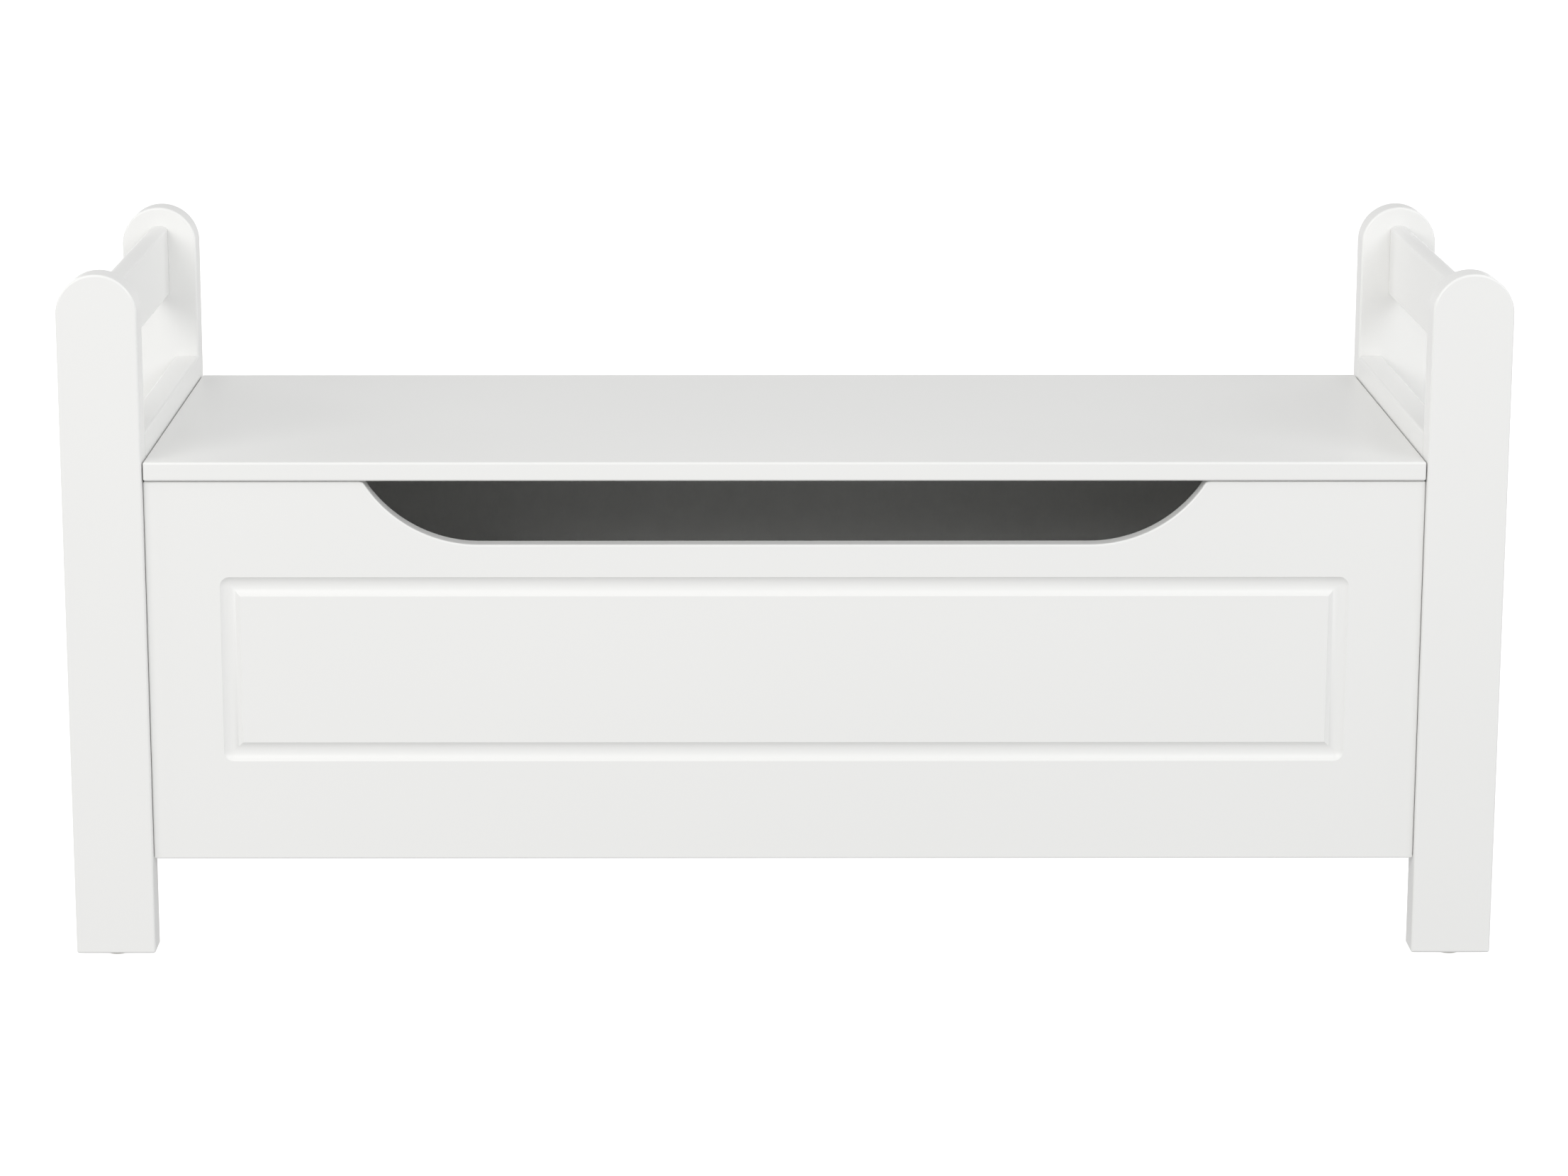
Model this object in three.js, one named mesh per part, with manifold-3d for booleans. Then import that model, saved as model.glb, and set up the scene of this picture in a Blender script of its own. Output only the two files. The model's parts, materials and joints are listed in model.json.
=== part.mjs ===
// Storage bench with a hinged seat lid, in millimetres, +Z up. The origin is on the floor under
// the middle of the bench, the front faces -Y and the length lies along X.
import * as THREE from 'three';
import { mergeVertices } from 'three/addons/utils/BufferGeometryUtils.js';
import Module from 'manifold-3d';

const wasm = await Module();
wasm.setup();

// Overall sizes
const width = 1200;              // over the outer faces of the legs
const depth = 400;               // front of the front legs to back of the back legs
const seatHeight = 428;          // floor to the top of the lid
const armRise = 158;             // top of the lid to the round tops of the legs

// Clearances
const seam = 0.25;               // between two boards that meet
const fitGap = 0.3;              // between a fastener or a pivot and its hole
const hingeGap = 2;              // lid to back panel, filled by the folded hinges
const bumperGap = 1;             // lid to front panel, filled by the bumpers
const lidEndGap = 0.8;           // between each end of the lid and the legs

// End frames
const legWidth = 67;
const legThickness = 28;
const boardEase = 2;             // radius of the eased edges on legs, lid and panels
const glideThickness = 2;
const glideRadius = 10;
const glideEase = 1;
const glideNailRadius = 1.2;
const glideNailLength = 14;
const glideNailTip = 2;
const sideThickness = 22;
const sideRise = 20;             // side panels above the top of the lid
const railThickness = 16;
const railHeight = 64;
const railDrop = 17;             // top of the rail below the tops of the legs
const railCrown = 4;             // rise of the rail's rounded top

// Chest
const panelThickness = 16;
const panelBottom = 84;
const frontSetback = 6;          // front panel behind the front face of the legs
const backSetback = 13;          // back panel before the back face of the legs
const floorThickness = 9;
const floorRise = 20;            // chest floor above the lower edges of the panels
const cleatSize = 18;
const lidThickness = 16;
const lidSetback = 2;            // front edge of the lid behind the front face of the legs

// Hand cut-out in the top edge of the front panel
const cutoutDepth = 54;
const cutoutFromEnd = 278;       // straight bottom of the cut-out from each leg
const cutoutRadius = 112;        // of the curve at each end
const cutoutLip = 6;             // radius where the curve meets the top edge

// Routed frame in the face of the front panel
const cutterRadius = 11.5;       // ball-nosed cutter
const grooveDepth = 3.5;
const grooveFromLeg = 70;        // centre line from each leg
const grooveFromEdge = 94;       // lower centre line above the panel's lower edge
const grooveFromCutout = 36;     // upper centre line below the cut-out

// Cam locks that hold the front and back panels to the legs
const camRadius = 7.5;
const camSkin = 3.5;             // board left behind a cam
const camFromEnd = 34;
const camFromBottom = 51;
const camFromTop = 45;
const camSlot = { length: 8, width: 1.6, depth: 1.5 };

// Screws, all countersunk
const screwTip = 3;

// Butt hinges
const hingeLength = 60;
const hingeFromLeg = 153;        // middle of a hinge from the leg beside it
const hingeBehind = 4;           // axis behind the back edge of the lid
const leafThickness = 0.8;
const barrelRadius = 3;
const pinRadius = 1.3;
const pinHeadRadius = 2.4;
const pinHeadThickness = 1;
const hingeScrewSpread = 36;
const hingeScrew = { shank: 1.5, head: 3.2, headDepth: 1.7, length: 12 };

// Folding lid stays. Hinge axis, lid pivot, elbow and side pivot make a parallelogram, so the
// lower arm keeps turning with the lid and the upper arm keeps its direction.
const lidOpening = 90;           // degrees
const lidPivotAhead = 150;       // lid pivot before the hinge axis
const lidPivotBelow = 13;        // lid pivot below the hinge axis
const sidePlateClear = 3;        // between a side plate and the back panel
const sidePivotBelow = 110;      // side pivot below the hinge axis
const armThickness = 2;
const armHalfWidth = 7;
const armPlay = 0.4;             // between neighbouring arms and plates
const studRadius = 3;
const studHeadRadius = 5.2;
const studHeadThickness = 1.2;
const sidePlateWidth = 26;
const sidePlateHeight = 54;
const sidePlateCorner = 5;
const bracketLength = 44;
const bracketReach = 24;
const tongueHalfWidth = 8;       // part of the bracket that hangs down round the pivot
const lugReach = 16;             // elbow to the stop lug
const lugLength = 8;
const lugThickness = 3;
const stayScrew = { shank: 1.6, head: 3.4, headDepth: 1.8, length: 15 };
const sideScrewSpread = 36;
const bracketScrewSpread = 28;
const bracketScrewInset = 8;     // screw row from the free edge of the bracket

// Rubber bumpers on the top edge of the front panel
const bumperRadius = 5;
const bumperFromLeg = 113;
const bumperDome = 0.4;

// Facets of the round shapes
const rodSides = 24;
const turnedSides = 20;
const screwSides = 12;
const legTopSteps = 10;
const cutoutSteps = 8;
const armEndSteps = 4;
const cornerSteps = 2;
const easeSteps = 2;

// Places that follow from the sizes above
const height = seatHeight + armRise;
const legInner = width / 2 - legWidth;
const legY = (depth - legThickness) / 2;
const underside = seatHeight - lidThickness;
const frontTop = underside - bumperGap;
const backTop = underside - hingeGap;
const sideTop = seatHeight + sideRise;
const railBottom = height - railDrop - railHeight;
const floorBottom = panelBottom + floorRise;
const cutoutFlat = 2 * (legInner - cutoutFromEnd);
const grooveLength = 2 * (legInner - grooveFromLeg);
const grooveBottom = panelBottom + grooveFromEdge;
const grooveHeight = frontTop - cutoutDepth - grooveFromCutout - grooveBottom;
const camDepth = panelThickness - camSkin;
const hingeX = legInner - hingeFromLeg;
const leafReach = hingeBehind + panelThickness;
const hingeScrewReach = hingeBehind + panelThickness / 2;
const panelLength = 2 * (legInner - seam);
const sideLength = depth - 2 * (legThickness + seam);
const frontY = -depth / 2 + frontSetback + panelThickness / 2;
const backY = depth / 2 - backSetback - panelThickness / 2;
const chestFront = frontY + panelThickness / 2;
const chestBack = backY - panelThickness / 2;
const lidFront = -depth / 2 + lidSetback;
const lidBack = depth / 2 - backSetback;
const hinge = { y: lidBack + hingeBehind, z: underside - hingeGap / 2 };
const lidPivot = { y: hinge.y - lidPivotAhead, z: hinge.z - lidPivotBelow };
const sidePivotAhead = leafReach + sidePlateWidth / 2 + sidePlateClear;
const sidePivot = { y: hinge.y - sidePivotAhead, z: hinge.z - sidePivotBelow };
const lowerArmLength = Math.hypot(lidPivotAhead, lidPivotBelow);
const upperArmLength = Math.hypot(sidePivotAhead, sidePivotBelow);
const lowerArmAngle = Math.atan2(-lidPivotBelow, -lidPivotAhead);
const upperArmAngle = Math.atan2(-sidePivotBelow, -sidePivotAhead);
const platePlane = legInner - seam - armThickness / 2;
const lowerArmPlane = platePlane - armThickness - armPlay;
const upperArmPlane = lowerArmPlane - armThickness - armPlay;

const lacquer = new THREE.MeshStandardMaterial({ color: 0xf1f1ef, roughness: 0.42, metalness: 0 });
const steel = new THREE.MeshStandardMaterial({ color: 0xb9bbbd, roughness: 0.35, metalness: 1 });
const zinc = new THREE.MeshStandardMaterial({ color: 0x9a9c9e, roughness: 0.5, metalness: 1 });
const plastic = new THREE.MeshStandardMaterial({ color: 0xe4e3df, roughness: 0.6, metalness: 0 });
const rubber = new THREE.MeshStandardMaterial({ color: 0xd8d8d4, roughness: 0.85, metalness: 0 });

// ---- Solids --------------------------------------------------------------------------------

// A closed geometry as a solid that can be cut and joined.
function toSolid(geometry) {
  const bare = geometry.clone();
  bare.deleteAttribute('normal');
  bare.deleteAttribute('uv');
  const merged = mergeVertices(bare);
  const vertProperties = merged.attributes.position.array;
  const triVerts = Uint32Array.from(merged.index.array);
  return new wasm.Manifold(new wasm.Mesh({ numProp: 3, vertProperties, triVerts }));
}

function toGeometry(solid) {
  const mesh = solid.getMesh();
  const geometry = new THREE.BufferGeometry();
  geometry.setAttribute('position', new THREE.BufferAttribute(mesh.vertProperties, 3));
  geometry.setIndex(new THREE.BufferAttribute(mesh.triVerts, 1));
  geometry.computeVertexNormals();
  return geometry;
}

function join(...geometries) {
  return toGeometry(geometries.map(toSolid).reduce((whole, solid) => whole.add(solid)));
}

function cut(geometry, tools) {
  return toGeometry(tools.map(toSolid).reduce((rest, tool) => rest.subtract(tool), toSolid(geometry)));
}

// A piece built about its own centre, cut by tools that stand in the bench's frame.
function cutInPlace(geometry, centre, tools) {
  return cut(geometry, tools.map((tool) => tool.translate(-centre.x, -centre.y, -centre.z)));
}

// An outline made into a plate, centred on its thickness, with eased edges.
function plate(outline, thickness, curveSegments, ease = 0) {
  const geometry = new THREE.ExtrudeGeometry(outline, {
    depth: thickness - 2 * ease,
    bevelEnabled: ease > 0,
    bevelThickness: ease,
    bevelSize: ease,
    bevelOffset: -ease,
    bevelSegments: easeSteps,
    curveSegments,
  });
  return geometry.translate(0, 0, ease - thickness / 2);
}

// Turns a plate from the XY plane so that it faces along Y (outline x, y to X, Z).
const facingY = (geometry) => geometry.rotateX(Math.PI / 2);

// Turns a plate from the XY plane so that it faces along X (outline x, y to Y, Z).
const facingX = (geometry) => geometry.rotateX(Math.PI / 2).rotateZ(Math.PI / 2);

// A centred rectangle with round corners.
function rectangle(length, breadth, radius) {
  const x = length / 2 - radius;
  const y = breadth / 2 - radius;
  const quarter = Math.PI / 2;
  const shape = new THREE.Shape();
  shape.absarc(x, y, radius, 0, quarter);
  shape.absarc(-x, y, radius, quarter, 2 * quarter);
  shape.absarc(-x, -y, radius, 2 * quarter, 3 * quarter);
  shape.absarc(x, -y, radius, 3 * quarter, 4 * quarter);
  return shape.closePath();
}

// A straight bar with round ends, from the origin along x, reaching past the second end.
function bar(length, radius) {
  const shape = new THREE.Shape();
  shape.absarc(length, 0, radius, -Math.PI / 2, Math.PI / 2);
  shape.absarc(0, 0, radius, Math.PI / 2, (3 * Math.PI) / 2);
  return shape.closePath();
}

// A cylinder along Y, and one along X.
const cylinder = (radius, length) => new THREE.CylinderGeometry(radius, radius, length, rodSides);

const rod = (radius, length, x, y, z) => (
  cylinder(radius, length).rotateZ(Math.PI / 2).translate(x, y, z));

// A profile of radius and height turned round Z.
const turned = (profile, segments) => new THREE.LatheGeometry(
  profile.map(([radius, z]) => new THREE.Vector2(radius, z)), segments).rotateX(Math.PI / 2);

// A countersunk screw with its head at the origin, flush with the surface, and its tip down -Z.
// With a gap it is the hole for that screw.
function screw({ shank, head, headDepth, length }, gap = 0) {
  const profile = [[0, -length - gap], [shank + gap, screwTip - length],
    [shank + gap, -headDepth], [head + gap, 0]];
  if (gap > 0) profile.push([head + gap, gap]);
  profile.push([0, gap]);
  return turned(profile, screwSides);
}

const bench = new THREE.Group();

function add(name, geometry, material, x, y, z, turn = 0) {
  const mesh = new THREE.Mesh(geometry, material);
  mesh.name = name;
  mesh.position.set(x, y, z);
  mesh.rotation.x = turn;
  bench.add(mesh);
}

const sides = [['left', -1], ['right', 1]];
const ends = [['front', -1], ['back', 1]];

// ---- End frames ----------------------------------------------------------------------------

// Leg outline, foot at the origin: straight sides, eased foot corners and a half-round top.
function legOutline() {
  const half = legWidth / 2;
  const straight = height - glideThickness - half;
  const shape = new THREE.Shape();
  shape.moveTo(boardEase - half, 0);
  shape.lineTo(half - boardEase, 0);
  shape.lineTo(half, boardEase);
  shape.absarc(0, straight, half, 0, Math.PI);
  shape.lineTo(-half, boardEase);
  return shape.closePath();
}

// A nail-on glide: a thin disc under the foot with its nail up into the leg.
function glide(gap = 0) {
  const nailTop = glideThickness + glideNailLength + gap;
  const nail = glideNailRadius + gap;
  return turned([[0, 0], [glideRadius - glideEase, 0], [glideRadius, glideEase],
    [glideRadius, glideThickness], [nail, glideThickness], [nail, nailTop - glideNailTip],
    [0, nailTop]], turnedSides);
}

function addLegs() {
  for (const [side, sx] of sides) {
    for (const [end, sy] of ends) {
      const centre = { x: sx * (legInner + legWidth / 2), y: sy * legY, z: glideThickness };
      const nailHole = glide(fitGap).translate(centre.x, centre.y, 0);
      const leg = facingY(plate(legOutline(), legThickness, legTopSteps, boardEase));
      add(`leg_${end}_${side}`, cutInPlace(leg, centre, [nailHole]), lacquer,
        centre.x, centre.y, centre.z);
      add(`glide_${end}_${side}`, glide(), plastic, centre.x, centre.y, 0);
    }
  }
}

// Side panels between the legs, with their four long edges eased.
function addSidePanels() {
  const tall = sideTop - panelBottom;
  const section = rectangle(sideThickness, tall, boardEase);
  for (const [side, sx] of sides) {
    const centre = { x: sx * (legInner + sideThickness / 2), y: 0, z: panelBottom + tall / 2 };
    const panel = facingY(plate(section, sideLength, cornerSteps));
    const holes = sideScrewPlaces(sx).map(([x, y, z]) => sideScrew(sx, fitGap).translate(x, y, z));
    add(`side_panel_${side}`, cutInPlace(panel, centre, holes), lacquer,
      centre.x, centre.y, centre.z);
  }
}

// Arm rail section, seen along Y: a flat board with a crowned top.
function railOutline() {
  const half = railThickness / 2;
  const shoulder = railHeight - railCrown;
  const radius = (half * half + railCrown * railCrown) / (2 * railCrown);
  const sweep = Math.asin(half / radius);
  const shape = new THREE.Shape();
  shape.moveTo(boardEase - half, 0);
  shape.lineTo(half - boardEase, 0);
  shape.lineTo(half, boardEase);
  shape.absarc(0, railHeight - radius, radius, Math.PI / 2 - sweep, Math.PI / 2 + sweep);
  shape.lineTo(-half, shoulder);
  shape.lineTo(-half, boardEase);
  return shape.closePath();
}

function addArmRails() {
  for (const [side, sx] of sides) {
    add(`arm_rail_${side}`, facingY(plate(railOutline(), sideLength, armEndSteps)), lacquer,
      sx * (legInner + legWidth / 2), 0, railBottom);
  }
}

// ---- Chest ---------------------------------------------------------------------------------

// Front panel outline about its own centre, with the hand cut-out in its top edge.
function frontOutline() {
  const halfLength = panelLength / 2;
  const top = (frontTop - panelBottom) / 2;
  const flat = cutoutFlat / 2;
  const bottom = top - cutoutDepth;
  const curveZ = bottom + cutoutRadius;
  const lipZ = top - cutoutLip;
  const apart = cutoutRadius + cutoutLip;
  const lipX = flat + Math.sqrt(apart ** 2 - (curveZ - lipZ) ** 2);
  const sweep = Math.atan2(lipZ - curveZ, lipX - flat);
  const down = -Math.PI / 2;
  const shape = new THREE.Shape();
  shape.moveTo(-halfLength, -top);
  shape.lineTo(halfLength, -top);
  shape.lineTo(halfLength, top);
  shape.absarc(lipX, lipZ, cutoutLip, Math.PI / 2, Math.PI + sweep);
  shape.absarc(flat, curveZ, cutoutRadius, sweep, down, true);
  shape.absarc(-flat, curveZ, cutoutRadius, down, -Math.PI - sweep, true);
  shape.absarc(-lipX, lipZ, cutoutLip, -sweep, Math.PI / 2);
  shape.lineTo(-halfLength, top);
  return shape.closePath();
}

// The path of the ball-nosed cutter: four straight runs, and a ball at each corner.
function grooveTools() {
  const y = frontY - panelThickness / 2 + grooveDepth - cutterRadius;
  const middle = grooveBottom + grooveHeight / 2;
  const tools = [];
  for (const side of [-1, 1]) {
    const x = (side * grooveLength) / 2;
    tools.push(rod(cutterRadius, grooveLength, 0, y, middle + (side * grooveHeight) / 2));
    tools.push(facingY(cylinder(cutterRadius, grooveHeight)).translate(x, y, middle));
    for (const rise of [-1, 1]) {
      tools.push(facingY(new THREE.SphereGeometry(cutterRadius, rodSides, rodSides / 2))
        .translate(x, y, middle + (rise * grooveHeight) / 2));
    }
  }
  return tools;
}

const frontBoard = { name: 'front', inner: chestFront, into: -1, top: frontTop };
const backBoard = { name: 'back', inner: chestBack, into: 1, top: backTop };

function camPlaces({ inner, into, top }) {
  const x = panelLength / 2 - camFromEnd;
  const levels = { lower: panelBottom + camFromBottom, upper: top - camFromTop };
  return sides.flatMap(([side, sx]) => Object.entries(levels).map(([level, z]) => (
    { name: `${side}_${level}`, x: sx * x, y: inner + into * camDepth / 2, z })));
}

// Cam lock: a round cam with a cross recess, sunk in the inner face of a panel.
function addCamLocks(board) {
  const mouth = (-board.into * camDepth) / 2;
  const slots = [0, Math.PI / 2].map((turn) => (
    new THREE.BoxGeometry(camSlot.length, 2 * camSlot.depth, camSlot.width)
      .rotateY(turn).translate(0, mouth, 0)));
  for (const { name, x, y, z } of camPlaces(board)) {
    add(`cam_lock_${board.name}_${name}`, cut(cylinder(camRadius, camDepth), slots), zinc, x, y, z);
  }
}

function camHoles(board) {
  return camPlaces(board).map(({ x, y, z }) => (
    cylinder(camRadius + fitGap, camDepth + 2 * fitGap).translate(x, y, z)));
}

function addFrontPanel() {
  const centre = { x: 0, y: frontY, z: (panelBottom + frontTop) / 2 };
  const panel = facingY(plate(frontOutline(), panelThickness, cutoutSteps, boardEase));
  const tools = [...grooveTools(), ...camHoles(frontBoard)];
  add('front_panel', cutInPlace(panel, centre, tools), lacquer, centre.x, centre.y, centre.z);
  addCamLocks(frontBoard);
}

function addBackPanel() {
  const centre = { x: 0, y: backY, z: (panelBottom + backTop) / 2 };
  const outline = rectangle(panelLength, backTop - panelBottom, boardEase);
  const panel = facingY(plate(outline, panelThickness, 1, boardEase));
  const screwHoles = hingeScrewPlaces(backTop + leafThickness)
    .map(([x, y, z]) => screw(hingeScrew, fitGap).translate(x, y, z));
  add('back_panel', cutInPlace(panel, centre, [...camHoles(backBoard), ...screwHoles]),
    lacquer, centre.x, centre.y, centre.z);
  addCamLocks(backBoard);
}

function addFloor() {
  const breadth = chestBack - chestFront - 2 * seam;
  const middleY = (chestFront + chestBack) / 2;
  add('chest_floor', new THREE.BoxGeometry(panelLength, breadth, floorThickness), lacquer,
    0, middleY, floorBottom + floorThickness / 2);
  const cleatZ = floorBottom - seam - cleatSize / 2;
  const fromWall = seam + cleatSize / 2;
  const sideCleatLength = breadth - 2 * (cleatSize + seam);
  for (const [end, sy] of ends) {
    const wall = sy < 0 ? chestFront : chestBack;
    add(`cleat_${end}`, new THREE.BoxGeometry(panelLength, cleatSize, cleatSize), lacquer,
      0, wall - sy * fromWall, cleatZ);
  }
  for (const [side, sx] of sides) {
    add(`cleat_${side}`, new THREE.BoxGeometry(cleatSize, sideCleatLength, cleatSize), lacquer,
      sx * (legInner - fromWall), middleY, cleatZ);
  }
}

function addBumpers() {
  const tall = bumperGap - seam;
  const profile = [[0, 0], [bumperRadius, 0], [bumperRadius, tall - bumperDome],
    [bumperRadius / 2, tall], [0, tall]];
  for (const [side, sx] of sides) {
    add(`bumper_${side}`, turned(profile, turnedSides), rubber,
      sx * (legInner - bumperFromLeg), frontY, frontTop);
  }
}

// ---- Lid -----------------------------------------------------------------------------------

function addLid() {
  const length = 2 * (legInner - lidEndGap);
  const breadth = lidBack - lidFront;
  const centre = { x: 0, y: (lidFront + lidBack) / 2, z: underside + lidThickness / 2 };
  const board = plate(rectangle(length, breadth, boardEase), lidThickness, 1, boardEase);
  const hingeHoles = hingeScrewPlaces(underside - leafThickness)
    .map(([x, y, z]) => screw(hingeScrew, fitGap).rotateX(Math.PI).translate(x, y, z));
  const bracketHoles = sides.flatMap(([, sx]) => bracketScrewPlaces(sx))
    .map(([x, y, z]) => screw(stayScrew, fitGap).rotateX(Math.PI).translate(x, y, z));
  add('lid', cutInPlace(board, centre, [...hingeHoles, ...bracketHoles]), lacquer,
    centre.x, centre.y, centre.z);
}

// ---- Hinges --------------------------------------------------------------------------------

function hingeScrewPlaces(z) {
  return sides.flatMap(([, sx]) => [-1, 1].map((row) => (
    [sx * hingeX + (row * hingeScrewSpread) / 2, hinge.y - hingeScrewReach, z])));
}

// One leaf of a hinge about its axis: a plate, and the knuckles rolled round the pin.
// The fixed leaf has the two outer knuckles and the lid leaf has the middle one.
function leaf(rise, knuckles) {
  const knuckleLength = hingeLength / 3 - fitGap;
  const z = rise * (hingeGap - leafThickness) / 2;
  const clear = barrelRadius + fitGap;
  const reach = leafReach - clear;
  const wall = (barrelRadius + pinRadius) / 2;
  const flat = new THREE.BoxGeometry(hingeLength, reach, leafThickness)
    .translate(0, -clear - reach / 2, z);
  const rings = knuckles.flatMap((step) => {
    const x = (step * hingeLength) / 3;
    const tab = clear - wall + leafThickness;
    return [
      rod(barrelRadius, knuckleLength, x, 0, 0),
      new THREE.BoxGeometry(knuckleLength, tab, leafThickness).translate(x, -wall - tab / 2, z),
    ];
  });
  const bore = rod(pinRadius + fitGap, 2 * hingeLength, 0, 0, 0);
  const holes = [-1, 1].map((row) => screw(hingeScrew, fitGap).rotateX(rise < 0 ? 0 : Math.PI)
    .translate((row * hingeScrewSpread) / 2, -hingeScrewReach, z - rise * leafThickness / 2));
  return cut(join(flat, ...rings), [bore, ...holes]);
}

function hingePin() {
  const half = hingeLength / 2 + fitGap;
  const tip = half + pinHeadThickness;
  const profile = [[0, -tip], [pinHeadRadius, -tip], [pinHeadRadius, -half], [pinRadius, -half],
    [pinRadius, half], [pinHeadRadius, half], [pinHeadRadius, tip], [0, tip]];
  return turned(profile, turnedSides).rotateY(Math.PI / 2);
}

function addHinges() {
  for (const [side, sx] of sides) {
    const x = sx * hingeX;
    add(`hinge_leaf_fixed_${side}`, leaf(-1, [-1, 1]), steel, x, hinge.y, hinge.z);
    add(`hinge_leaf_lid_${side}`, leaf(1, [0]), steel, x, hinge.y, hinge.z);
    add(`hinge_pin_${side}`, hingePin(), steel, x, hinge.y, hinge.z);
  }
  const names = ['left_outer', 'left_inner', 'right_inner', 'right_outer'];
  hingeScrewPlaces(backTop + leafThickness).forEach(([x, y, z], i) => (
    add(`hinge_screw_fixed_${names[i]}`, screw(hingeScrew), steel, x, y, z)));
  hingeScrewPlaces(underside - leafThickness).forEach(([x, y, z], i) => (
    add(`hinge_screw_lid_${names[i]}`, screw(hingeScrew).rotateX(Math.PI), steel, x, y, z)));
}

// ---- Lid stays -----------------------------------------------------------------------------

const sideScrew = (sx, gap = 0) => screw(stayScrew, gap).rotateY((-sx * Math.PI) / 2);

function sideScrewPlaces(sx) {
  const x = sx * (platePlane - armThickness / 2);
  return [-1, 1].map((row) => [x, sidePivot.y, sidePivot.z + (row * sideScrewSpread) / 2]);
}

function bracketScrewPlaces(sx) {
  const x = sx * (lowerArmPlane - bracketReach + bracketScrewInset);
  const z = underside - seam - armThickness;
  return [-1, 1].map((row) => [x, lidPivot.y + (row * bracketScrewSpread) / 2, z]);
}

// A pivot stud that stands on a plate at x = from, passes an arm towards +X or -X, and ends in
// a head beyond it.
function stud(from, towards) {
  const shaft = armThickness / 2 + armThickness + 2 * armPlay;
  return [
    rod(studRadius, shaft, from + (towards * shaft) / 2, 0, 0),
    rod(studHeadRadius, studHeadThickness, from + towards * (shaft + studHeadThickness / 2), 0, 0),
  ];
}

const pivotHole = (y) => rod(studRadius + fitGap, 4 * armThickness, 0, y, 0);

// Plate screwed to the side panel, with the stud of the side pivot.
function sidePlate(sx) {
  const outline = rectangle(sidePlateWidth, sidePlateHeight, sidePlateCorner);
  const body = facingX(plate(outline, armThickness, armEndSteps));
  const holes = [-1, 1].map((row) => sideScrew(sx, fitGap)
    .translate((-sx * armThickness) / 2, 0, (row * sideScrewSpread) / 2));
  return join(cut(body, holes), ...stud(0, -sx));
}

// Lower arm, from the side pivot along +Y. It reaches past the elbow to the stop lug, which the
// edge of the upper arm meets when the lid is fully open.
function lowerArm(sx) {
  const opened = lowerArmAngle - THREE.MathUtils.degToRad(lidOpening);
  const bend = upperArmAngle + Math.PI - opened;
  const aside = armHalfWidth + fitGap + lugThickness / 2;
  const lugY = lowerArmLength + lugReach * Math.cos(bend) - aside * Math.sin(bend);
  const lugZ = lugReach * Math.sin(bend) + aside * Math.cos(bend);
  const lugTall = 2 * armThickness + armPlay;
  const body = facingX(plate(bar(lugY, armHalfWidth), armThickness, armEndSteps));
  const lug = new THREE.BoxGeometry(lugTall, lugLength, lugThickness).rotateX(bend)
    .translate((-sx * (lugTall - armThickness)) / 2, lugY, lugZ);
  return cut(join(body, lug), [pivotHole(0), pivotHole(lowerArmLength)]);
}

// Upper arm, from the lid pivot along +Y, with the elbow stud at its far end.
function upperArm(sx) {
  const body = facingX(plate(bar(upperArmLength, armHalfWidth), armThickness, armEndSteps));
  const elbow = stud(0, sx).map((piece) => piece.translate(0, upperArmLength, 0));
  return join(cut(body, [pivotHole(0)]), ...elbow);
}

// Angle bracket under the lid: a flange with its screw holes, and a tongue with the pivot stud.
function lidBracket(sx) {
  const flangeTop = underside - seam - lidPivot.z;
  const tongue = facingX(plate(bar(flangeTop, tongueHalfWidth), armThickness, armEndSteps))
    .rotateX(Math.PI / 2);
  const trim = new THREE.BoxGeometry(2 * armThickness, bracketLength, 2 * bracketReach)
    .translate(0, 0, flangeTop + bracketReach);
  const flange = new THREE.BoxGeometry(bracketReach, bracketLength, armThickness)
    .translate(sx * (armThickness - bracketReach) / 2, 0, flangeTop - armThickness / 2);
  const holes = bracketScrewPlaces(sx).map(([x, y, z]) => screw(stayScrew, fitGap).rotateX(Math.PI)
    .translate(x - sx * lowerArmPlane, y - lidPivot.y, z - lidPivot.z));
  return cut(join(cut(tongue, [trim]), flange, ...stud(0, -sx)), holes);
}

function addStays() {
  for (const [side, sx] of sides) {
    add(`stay_side_plate_${side}`, sidePlate(sx), zinc, sx * platePlane, sidePivot.y, sidePivot.z);
    add(`stay_lower_arm_${side}`, lowerArm(sx), zinc,
      sx * lowerArmPlane, sidePivot.y, sidePivot.z, lowerArmAngle);
    add(`stay_upper_arm_${side}`, upperArm(sx), zinc,
      sx * upperArmPlane, lidPivot.y, lidPivot.z, upperArmAngle);
    add(`stay_lid_bracket_${side}`, lidBracket(sx), zinc, sx * lowerArmPlane, lidPivot.y, lidPivot.z);
    sideScrewPlaces(sx).forEach(([x, y, z], i) => (
      add(`side_plate_screw_${side}_${i ? 'upper' : 'lower'}`, sideScrew(sx), zinc, x, y, z)));
    bracketScrewPlaces(sx).forEach(([x, y, z], i) => (
      add(`bracket_screw_${side}_${i ? 'back' : 'front'}`, screw(stayScrew).rotateX(Math.PI),
        zinc, x, y, z)));
  }
}

addLegs();
addSidePanels();
addArmRails();
addFrontPanel();
addBackPanel();
addFloor();
addBumpers();
addLid();
addHinges();
addStays();

export default bench;
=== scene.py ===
import json
import math

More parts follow.
